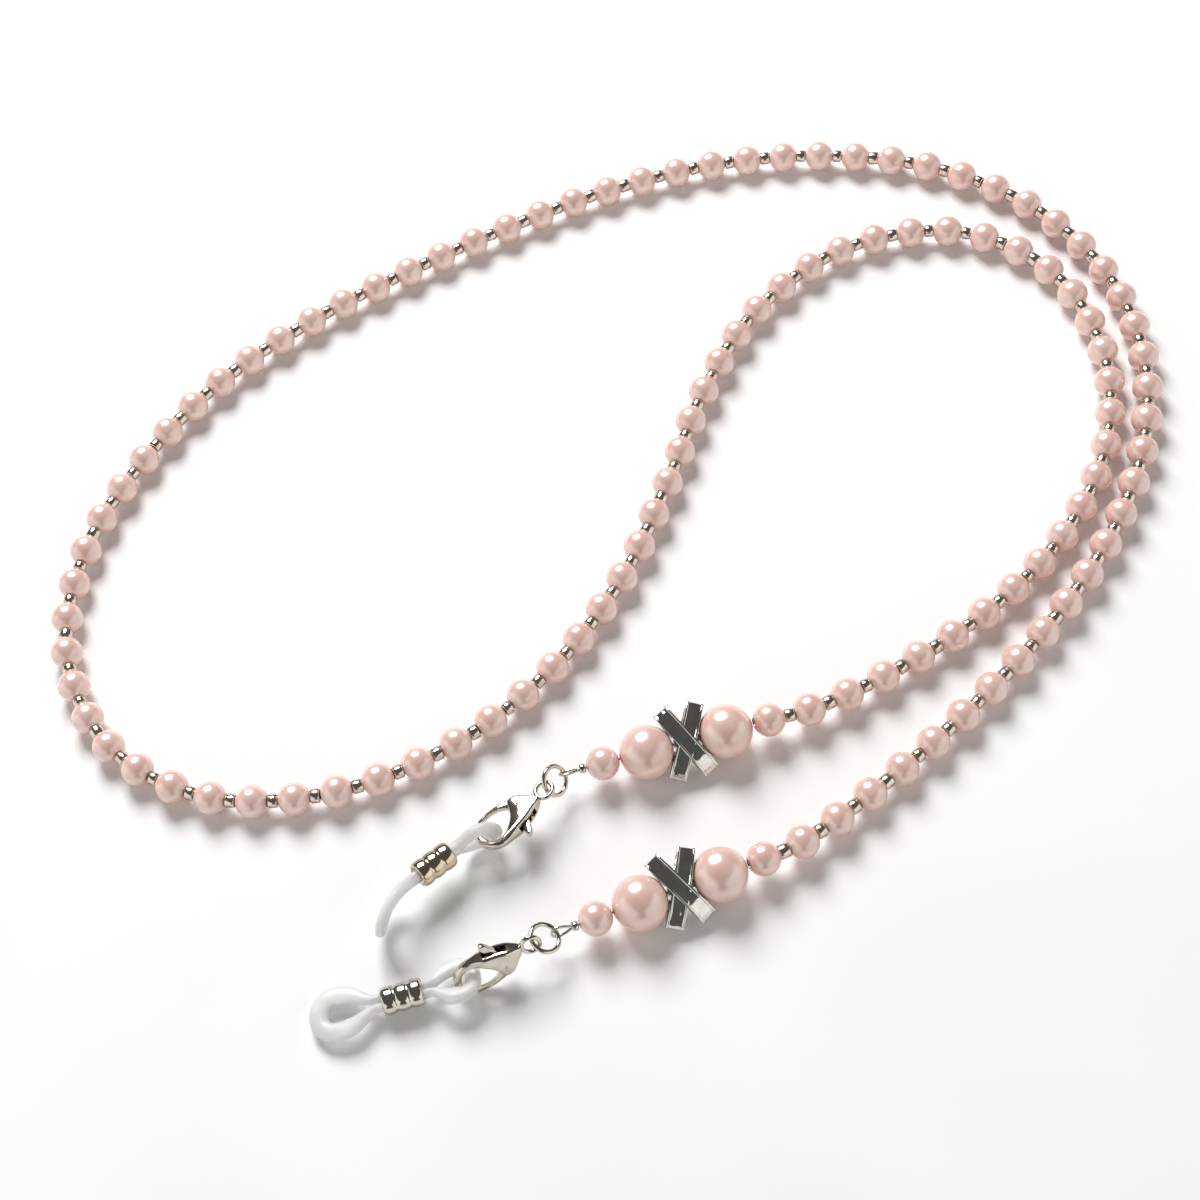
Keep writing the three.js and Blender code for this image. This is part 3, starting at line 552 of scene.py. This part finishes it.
def beads_on_line_tree():
    """Geometry Nodes: beads on every second point of a line, each turned and sized a little by
    chance."""
    tree = bpy.data.node_groups.new("beads_on_line", "GeometryNodeTree")
    face = tree.interface
    face.new_socket("Line", in_out="INPUT", socket_type="NodeSocketGeometry")
    for name, kind in (
        ("Bead", "NodeSocketObject"),
        ("Points", "NodeSocketInt"),
        ("First", "NodeSocketInt"),
        ("Tilt", "NodeSocketFloat"),
        ("Size Change", "NodeSocketFloat"),
        ("Length Change", "NodeSocketFloat"),
        ("Seed", "NodeSocketInt"),
        ("Finish", "NodeSocketMaterial"),
    ):
        face.new_socket(name, in_out="INPUT", socket_type=kind)
    face.new_socket("Beads", in_out="OUTPUT", socket_type="NodeSocketGeometry")
    given = add_node(tree, "NodeGroupInput").outputs
    line = add_node(tree, "GeometryNodeResampleCurve", {"Curve": given["Line"], "Count": given["Points"]})
    tangent = add_node(tree, "GeometryNodeInputTangent").outputs["Tangent"]
    kept = add_node(tree, "GeometryNodeStoreNamedAttribute", {
        "Geometry": line.outputs["Curve"], "Name": "along", "Value": tangent,
    }, data_type="FLOAT_VECTOR", domain="POINT")
    points = add_node(
        tree, "GeometryNodeCurveToPoints", {"Curve": kept.outputs["Geometry"]}, mode="EVALUATED"
    )
    index = add_node(tree, "GeometryNodeInputIndex").outputs["Index"]
    shifted = add_node(tree, "ShaderNodeMath", {0: index, 1: given["First"]}, operation="SUBTRACT")
    odd = add_node(tree, "ShaderNodeMath", {0: shifted.outputs[0], 1: 2.0}, operation="FLOORED_MODULO")
    every = add_node(
        tree, "FunctionNodeCompare", {0: odd.outputs[0], 1: 0.5}, data_type="FLOAT", operation="LESS_THAN"
    )
    along = add_node(tree, "GeometryNodeInputNamedAttribute", {"Name": "along"}, data_type="FLOAT_VECTOR")
    wobble = add_node(tree, "FunctionNodeRandomValue", {
        "Min": (-1, -1, -1), "Max": (1, 1, 1), "Seed": given["Seed"],
    }, data_type="FLOAT_VECTOR")
    tilted = add_node(
        tree, "ShaderNodeVectorMath", {0: wobble.outputs[0], "Scale": given["Tilt"]}, operation="SCALE"
    )
    leaning = add_node(
        tree,
        "ShaderNodeVectorMath",
        {0: along.outputs["Attribute"], 1: tilted.outputs[0]},
        operation="ADD",
    )
    turn = add_node(tree, "FunctionNodeAlignRotationToVector", {"Vector": leaning.outputs[0]}, axis="X")
    spin_by = add_node(tree, "FunctionNodeRandomValue", {
        2: 0.0, 3: 2 * math.pi, "Seed": given["Seed"],
    }, data_type="FLOAT")
    spin = add_node(tree, "FunctionNodeAxisAngleToRotation", {"Axis": (1, 0, 0), "Angle": spin_by.outputs[1]})
    turned = add_node(tree, "FunctionNodeRotateRotation", {
        "Rotation": turn.outputs[0], "Rotate By": spin.outputs[0],
    }, rotation_space="LOCAL")
    chance = add_node(tree, "FunctionNodeRandomValue", {
        "Min": (-1, -1, -1), "Max": (1, 1, 1), "Seed": given["Seed"],
    }, data_type="FLOAT_VECTOR")
    split = add_node(tree, "ShaderNodeSeparateXYZ", {0: chance.outputs[0]})
    size = add_node(
        tree,
        "ShaderNodeMath",
        {0: split.outputs["Y"], 1: given["Size Change"], 2: 1.0},
        operation="MULTIPLY_ADD",
    )
    length = add_node(
        tree,
        "ShaderNodeMath",
        {0: split.outputs["X"], 1: given["Length Change"], 2: size.outputs[0]},
        operation="MULTIPLY_ADD",
    )
    thick = size.outputs[0]
    scale = add_node(tree, "ShaderNodeCombineXYZ", {"X": length.outputs[0], "Y": thick, "Z": thick})
    bead = add_node(tree, "GeometryNodeObjectInfo", {"Object": given["Bead"], "As Instance": False})
    instances = add_node(tree, "GeometryNodeInstanceOnPoints", {
        "Points": points.outputs["Points"],
        "Selection": every.outputs[0],
        "Instance": bead.outputs["Geometry"],
        "Rotation": turned.outputs[0],
        "Scale": scale.outputs[0],
    })
    real = add_node(tree, "GeometryNodeRealizeInstances", {"Geometry": instances.outputs[0]})
    finished = add_node(
        tree, "GeometryNodeSetMaterial", {"Geometry": real.outputs[0], "Material": given["Finish"]}
    )
    add_node(tree, "NodeGroupOutput", {"Beads": finished.outputs[0]})
    return tree


def beads_on_line(name, tree, line, values):
    """Runs the tree on a line, and returns its result as a plain mesh piece."""
    curve = bpy.data.curves.new(name + "_line", "CURVE")
    curve.dimensions = "3D"
    spline = curve.splines.new("POLY")
    spline.points.add(len(line) - 1)
    for point, place in zip(spline.points, line):
        point.co = (*place, 1)
    holder = bpy.data.objects.new(name + "_line", curve)
    bpy.context.collection.objects.link(holder)
    modifier = holder.modifiers.new("beads", "NODES")
    modifier.node_group = tree
    for item in tree.interface.items_tree:
        if item.in_out == "INPUT" and item.name in values:
            modifier[item.identifier] = values[item.name]
    graph = bpy.context.evaluated_depsgraph_get()
    mesh = bpy.data.meshes.new_from_object(holder.evaluated_get(graph))
    bpy.data.objects.remove(holder)
    for attribute in [a.name for a in mesh.attributes if a.name == "along"]:
        mesh.attributes.remove(mesh.attributes[attribute])
    return add_object(name, mesh, values["Finish"])


ROUTE_LINE = [np.array(Vector(point) - MIDDLE) for point in ROUTE]


def make_strand(finishes):
    """The wire as a round curve, with the strand's pearls and seed beads on it."""
    line = curve_through(ROUTE_LINE, 24)
    places = 2 * PEARL_COUNT - 1  # of the pearls and the seed beads between them
    even, length = even_steps(line, places)
    over = CORD_REACH * MM
    start = even[0] + (even[0] - even[1]) / np.linalg.norm(even[0] - even[1]) * over
    end = even[-1] + (even[-1] - even[-2]) / np.linalg.norm(even[-1] - even[-2]) * over
    curve = bpy.data.curves.new("beading_cord", "CURVE")
    curve.dimensions = "3D"
    curve.bevel_depth = WIRE_D / 2 * MM
    curve.bevel_resolution = 3
    curve.use_fill_caps = True
    spline = curve.splines.new("POLY")
    route = [start, *even, end]
    spline.points.add(len(route) - 1)
    for point, place in zip(spline.points, route):
        point.co = (*place, 1)
    cord = bpy.data.objects.new("beading_cord", curve)
    bpy.context.collection.objects.link(cord)
    curve.materials.append(finishes["wire"])
    tree = beads_on_line_tree()
    pearl = lathe("pearl_pattern", pearl_profile(PEARL_D, 16), 24, finishes["pearl"])
    seed = lathe("seed_pattern", seed_profile(), 12, finishes["seed"])
    pearls = beads_on_line("strand_pearls", tree, even, {
        "Bead": pearl, "Points": places, "First": 0, "Tilt": 0.04, "Size Change": 0.006,
        "Length Change": 0.008, "Seed": 3, "Finish": finishes["pearl"],
    })
    seeds = beads_on_line("strand_seed_beads", tree, even, {
        "Bead": seed, "Points": places, "First": 1, "Tilt": 0.09, "Size Change": 0.05,
        "Length Change": 0.1, "Seed": 8, "Finish": finishes["seed"],
    })
    bpy.data.objects.remove(pearl)
    bpy.data.objects.remove(seed)
    shade_by_angle(seeds, 50)
    runs = sorted(node for node in frame["nodes"] if node.startswith("bead_run_"))
    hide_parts(*runs)
    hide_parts("beading_wire")
    for piece, slot in ((cord, "wire"), (pearls, "strand_beads"), (seeds, "nickel")):
        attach(piece, "strand")


# ---------------------------------------------------------------- the ends
def joint(name, end):
    return JOINTS[name + "_" + end]


def middle_of(node):
    low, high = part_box(node)
    return (Vector(low) + Vector(high)) / 2


def finish_piece(piece, body, slot, *nodes):
    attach(piece, body)
    if nodes:
        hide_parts(*nodes)


def make_cluster(end, finishes):
    """The large pearls, end pearl, crimp bead and wire loop, on the end wire."""
    body = "cluster_" + end
    away = Vector(joint("spacer_spin", end)["axis"])
    up = Vector((0, 0, 1))
    for name, diameter in (
        ("large_pearl_inner", LARGE_PEARL_D),
        ("large_pearl_outer", LARGE_PEARL_D),
        ("end_pearl", PEARL_D),
    ):
        node = f"{name}_{end}"
        place = middle_of(node)
        place.z = joint("cluster_lift", end)["pos_m"][2]
        at = frame_at(place, away, up)
        pearl = lathe(node + "_bead", pearl_profile(diameter, 40), 64, finishes["pearl"], at)
        finish_piece(pearl, body, "pearl", node)
    crimp_place = middle_of("crimp_bead_" + end)
    half, outer, bore = CRIMP_LENGTH / 2, CRIMP_D / 2, WIRE_D * 1.1
    profile = [
        (-half, bore), (-half, outer * 0.82), (-half * 0.75, outer * 0.97), (0, outer * 1.02),
        (half * 0.75, outer * 0.97), (half, outer * 0.82), (half, bore),
    ]
    crimp = lathe("crimp_barrel_" + end, profile, 32, finishes["nickel"], frame_at(crimp_place, away, up))
    finish_piece(crimp, body, "nickel", "crimp_bead_" + end)
    frame["nodes"]["end_wire_" + end].data.materials.clear()
    frame["nodes"]["end_wire_" + end].data.materials.append(finishes["wire"])
    # the wire loop, in the plane that the jump ring crosses
    tangent = Vector(joint("ring_swing", end)["axis"])
    turn = Matrix.Rotation(math.radians(ENDS[end]["wire_loop_turn"]), 3, away)
    loop_place = crimp_place + away * CRIMP_LENGTH / 2 * MM
    leg = WIRE_D / 2 + 0.02
    centre = WIRE_LOOP_LENGTH - WIRE_D / 2 - WIRE_LOOP_BEND
    points = [(-0.4 * CRIMP_LENGTH, leg), (0.1, leg), (0.5 * centre, 0.75 * WIRE_LOOP_BEND)]
    for degrees in (90, 60, 30, 0):
        angle = math.radians(degrees)
        points.append((centre + WIRE_LOOP_BEND * math.cos(angle), WIRE_LOOP_BEND * math.sin(angle)))
    points += [(x, -y) for x, y in reversed(points[:-1])]
    line = curve_through([(x * MM, y * MM, 0) for x, y in points], 8)
    at = frame_at(loop_place, away, turn @ tangent)
    loop = tube("wire_eye_" + end, line, WIRE_D, 12, finishes["wire"], at)
    finish_piece(loop, body, "wire", "wire_loop_" + end)


def strap_rings(rise):
    """One strap of the spacer: rings of its section, round a bowed loop about X."""
    depth = SPACER_DEPTH / 2 + rise
    quarter = [(0, y * SPACER_LENGTH / 2, z * depth) for y, z in STRAP_BOW]
    upper = quarter + [(0, -y, z) for _, y, z in quarter[-2::-1]]
    lower = [(0, -y, -z) for _, y, z in upper[1:-1]]
    route = curve_through(upper + lower, 6, closed=True)
    half = STRAP_WIDTH / 2
    face = [
        (-half, -0.16), (-half + 0.03, -0.04), (-half + 0.1, 0), (-half + 0.22, 0),
        (-half + 0.29, -0.03), (-half + 0.36, -0.12), (-half + 0.5, -0.14), (-half * 0.3, -0.1),
    ]
    face += [(-across, out) for across, out in reversed(face)]
    rings = []
    for i, (_, y, z) in enumerate(route):
        way = route[(i + 1) % len(route)] - route[i - 1]
        ny, nz = np.array([way[2], -way[1]]) / np.linalg.norm(way)
        if ny * y + nz * z < 0:
            ny, nz = -ny, -nz
        inner = (y * STRAP_HOLLOW[0] * MM, z * STRAP_HOLLOW[1] * MM)
        outside = [(across * MM, (y + ny * out) * MM, (z + nz * out) * MM) for across, out in face]
        rings.append([(-half * MM, *inner), *outside, (half * MM, *inner)])
    return rings


def make_spacer(end, finishes):
    """Two flattened bands crossed over each other, with polished rims."""
    spin = joint("spacer_spin", end)
    away, place = Vector(spin["axis"]), Vector(spin["pos_m"])
    lean = math.radians(SPACER_LEAN)
    side = Vector((0, 0, 1)).cross(away)
    normal = side * math.sin(lean) + Vector((0, 0, math.cos(lean)))
    at = frame_at(place, away, normal)
    upper = loft("upper_strap", strap_rings(STRAP_RISE), finishes["spacer"], True,
                 at @ Matrix.Rotation(math.radians(STRAP_ANGLE), 4, "Z"))
    lower = loft("lower_strap", strap_rings(0), finishes["spacer"], True,
                 at @ Matrix.Rotation(math.radians(-STRAP_ANGLE), 4, "Z"))
    boss_r = 0.4 * SPACER_DEPTH
    boss = lathe("boss", [(-1.8, BORE_D / 2), (-1.8, boss_r), (1.8, boss_r), (1.8, BORE_D / 2)], 48,
                 finishes["spacer"], at)
    combine(upper, lower, "UNION")
    combine(upper, boss, "UNION")
    upper.name = "crossed_bands_" + end
    shade_by_angle(upper, 35)
    finish_piece(upper, "spacer_" + end, "spacer_metal", "cross_spacer_" + end)


def make_ring(end, finishes):
    """The jump ring: a turn of round wire with its ends butted."""
    first, second = Vector(joint("ring_swing", end)["pos_m"]), Vector(joint("clasp_swing", end)["pos_m"])
    tangent = Vector(joint("ring_swing", end)["axis"])
    to_eye = (second - first).normalized()
    at = frame_at((first + second) / 2, to_eye, to_eye.cross(tangent))
    radius = (second - first).length / 2
    half = RING_SPLIT / 2 * MM / radius
    line = []
    for i in range(73):
        angle = -math.pi / 2 + half + (2 * math.pi - 2 * half) * i / 72
        line.append((radius * math.cos(angle), radius * math.sin(angle), 0))
    ring = tube("split_ring_" + end, line, RING_WIRE_D, 16, finishes["nickel"], at)
    finish_piece(ring, "ring_" + end, "nickel", "jump_ring_" + end)


def clasp_frame(end):
    lever, swing = joint("lever_open", end), joint("loop_swing", end)
    normal, toward_tab = Vector(lever["axis"]), Vector(swing["axis"])
    to_hook = toward_tab.cross(normal)
    place = Vector(lever["pos_m"]) - (to_hook * LEVER_PIVOT[0] + toward_tab * LEVER_PIVOT[1]) * MM
    return frame_at(place, to_hook, normal)


def smooth_step(low, high, x):
    t = min(max((x - low) / (high - low), 0), 1)
    return t * t * (3 - 2 * t)


def clasp_thickness(x, y):
    """Thin at the neck and along the hook, swelling at the shoulder."""
    swell = smooth_step(1.2, 3.4, x) * (1 - smooth_step(6.2, 8.6, x))
    return HOOK_THICKNESS + (SHOULDER_THICKNESS - HOOK_THICKNESS) * swell


def make_clasp(end, finishes):
    """The cast body with its hook and eye, the lever in its slot, its pin and its spring."""
    at = clasp_frame(end)
    metal = finishes["nickel"]
    outline = round_outline(HOOK_OUTLINE, 12, 150)
    body = plate("clasp_casting_" + end, outline, clasp_thickness, CLASP_ROUNDING, metal, at)
    angles = [2 * math.pi * i / 48 for i in range(48)]
    ring_r, wire_r = (EYE_D - EYE_WIRE_D) / 2, EYE_WIRE_D / 2
    rings = []
    for a in angles:
        rings.append([
            ((ring_r + wire_r * math.cos(b)) * math.cos(a) * MM,
             (ring_r + wire_r * math.cos(b)) * math.sin(a) * MM,
             wire_r * math.sin(b) * MM)
            for b in (2 * math.pi * k / 16 for k in range(16))
        ])
    eye = loft("eye", rings, metal, True, at)
    combine(body, eye, "UNION")
    slot_width = LEVER_THICKNESS + 2 * LEVER_PLAY
    slot = plate("slot", LEVER_SLOT, lambda x, y: slot_width, 0.01, metal, at)
    combine(body, slot, "DIFFERENCE")
    shade_by_angle(body, 40)
    finish_piece(body, "clasp_" + end, "nickel", "clasp_body_" + end)
    lever = plate("clasp_gate_" + end, round_outline(LEVER_OUTLINE, 10, 110),
                  lambda x, y: LEVER_THICKNESS, 0.2, metal, at)
    finish_piece(lever, "lever_" + end, "nickel", "clasp_lever_" + end)
    half, radius = SHOULDER_THICKNESS / 2, PIN_D / 2
    profile = [(-half, 0.01), (-half, radius * 0.8), (-half + 0.1, radius), (half - 0.1, radius),
               (half, radius * 0.8), (half, 0.01)]
    pin_at = at @ Matrix.Translation(Vector((*LEVER_PIVOT, 0)) * MM) @ Matrix.Rotation(-math.pi / 2, 4, "Y")
    pin = lathe("gate_rivet_" + end, profile, 24, metal, pin_at)
    finish_piece(pin, "clasp_" + end, "nickel", "clasp_pin_" + end)
    spring = frame["nodes"]["clasp_spring_" + end]
    spring.data.materials.clear()
    spring.data.materials.append(finishes["spring"])


class LoopLine:
    """The silicone loop's middle line: walked from the hook in short steps, straight past its tip."""

    STEP = 0.25

    def __init__(self, end, start):
        self.across = [Vector(across) for across in ENDS[end]["loop_across"]]
        bends = ENDS[end]["loop_bend"]
        places = [bend[0] for bend in bends]
        self.points = [start]
        gone = 0.0
        while gone < LOOP_LENGTH:
            heading = math.radians(np.interp(gone, places, [bend[1] for bend in bends]))
            rise = math.radians(np.interp(gone, places, [bend[2] for bend in bends]))
            way = Vector((
                math.cos(heading) * math.cos(rise), math.sin(heading) * math.cos(rise), math.sin(rise)
            ))
            self.points.append(self.points[-1] + way * self.STEP * MM)
            gone += self.STEP

    def place(self, along):
        share = along / self.STEP
        index = int(min(max(share, 0), len(self.points) - 2))
        return self.points[index].lerp(self.points[index + 1], share - index)

    def frame(self, along):
        tangent = self.place(along + 0.3) - self.place(along - 0.3)
        share = min(max(along / LOOP_LENGTH, 0), 1)
        across = self.across[0].lerp(self.across[1], share)
        return frame_at(self.place(along), tangent, tangent.cross(across))


def make_loop(end, finishes):
    """The moulded silicone loop, pinched by its slider, and the slider."""
    at = clasp_frame(end)
    line = LoopLine(end, at @ (Vector((*HOOK_BAND, 0)) * MM))
    side = [(along, half) for along, half in LOOP_BAND]
    closed = side + [(along, -half) for along, half in reversed(side[1:-1])]
    middle = round_outline(closed, 12, 220)
    rings = []
    for i, (along, half) in enumerate(middle):
        after, before = middle[(i + 1) % len(middle)], middle[i - 1]
        tangent = (after - before) / np.linalg.norm(after - before)
        out = np.array([tangent[1], -tangent[0]])
        width = np.interp(along, *BAND_WIDTHS)
        ring = []
        for k in range(20):
            angle = 2 * math.pi * k / 20
            c, s = math.cos(angle), math.sin(angle)
            # a rounded section, a little squarer than an ellipse
            c, s = math.copysign(abs(c) ** 0.85, c), math.copysign(abs(s) ** 0.85, s)
            flat = np.array([along, half]) + out * (c * width / 2)
            place = line.frame(flat[0]) @ Vector((0, flat[1] * MM, s * BAND_THICKNESS / 2 * MM))
            ring.append(tuple(place))
        rings.append(ring)
    loop = loft("moulded_loop_" + end, rings, finishes["silicone"], closed=True)
    finish_piece(loop, "loop_" + end, "silicone", "silicone_loop_" + end)
    outer, bore, third = SLIDER_D / 2, SLIDER_BORE_D / 2, SLIDER_LENGTH / 3
    profile = [(-SLIDER_LENGTH / 2, bore)]
    for i in range(3):
        middle_x = -SLIDER_LENGTH / 2 + third * (i + 0.5)
        for k in range(11):
            x = -0.5 + k / 10
            fall = 1 - math.sqrt(max(0, 1 - (2 * x) ** 2))
            profile.append((middle_x + x * third, outer - fall * SLIDER_VALLEY))
    profile.append((SLIDER_LENGTH / 2, bore))
    slider = lathe("ribbed_slider_" + end, profile, 64, finishes["slider_" + end], line.frame(SLIDER_PLACE))
    finish_piece(slider, "slider_" + end, "nickel", "loop_slider_" + end)


def make_floor(finish):
    size = 4.0
    mesh = bpy.data.meshes.new("table")
    corners = [(-size, -size, 0), (size, -size, 0), (size, size, 0), (-size, size, 0)]
    mesh.from_pydata(corners, [], [(0, 1, 2, 3)])
    add_object("table", mesh, finish, smooth=False)


make_camera()
FINISHES = {
    "pearl": imitation_pearl("rose_imitation_pearl", "#f2cfc4", "#ecbfb1"),
    "seed": nickel("plated_seed_bead", "#ded2c6", "#cbbdb0", 0.14),
    "nickel": nickel("polished_nickel", "#d3cbc1", "#c4bcb2", 0.07),
    "slider_a": nickel("warm_plated_slider", "#d6c8b2", "#c4b69e", 0.09),
    "slider_b": nickel("plated_slider", "#d6cfc4", "#c6bfb4", 0.09),
    "spacer": nickel("polished_spacer", "#dcdad4", "#c9c9c4", 0.05),
    "wire": drawn_wire(),
    "spring": spring_steel(),
    "silicone": frosted_silicone(),
}
make_strand(FINISHES)
for END in ENDS:
    make_cluster(END, FINISHES)
    make_spacer(END, FINISHES)
    make_ring(END, FINISHES)
    make_clasp(END, FINISHES)
    make_loop(END, FINISHES)
make_floor(matt_table())
make_lights()
bpy.context.scene.view_settings.view_transform = "Standard"
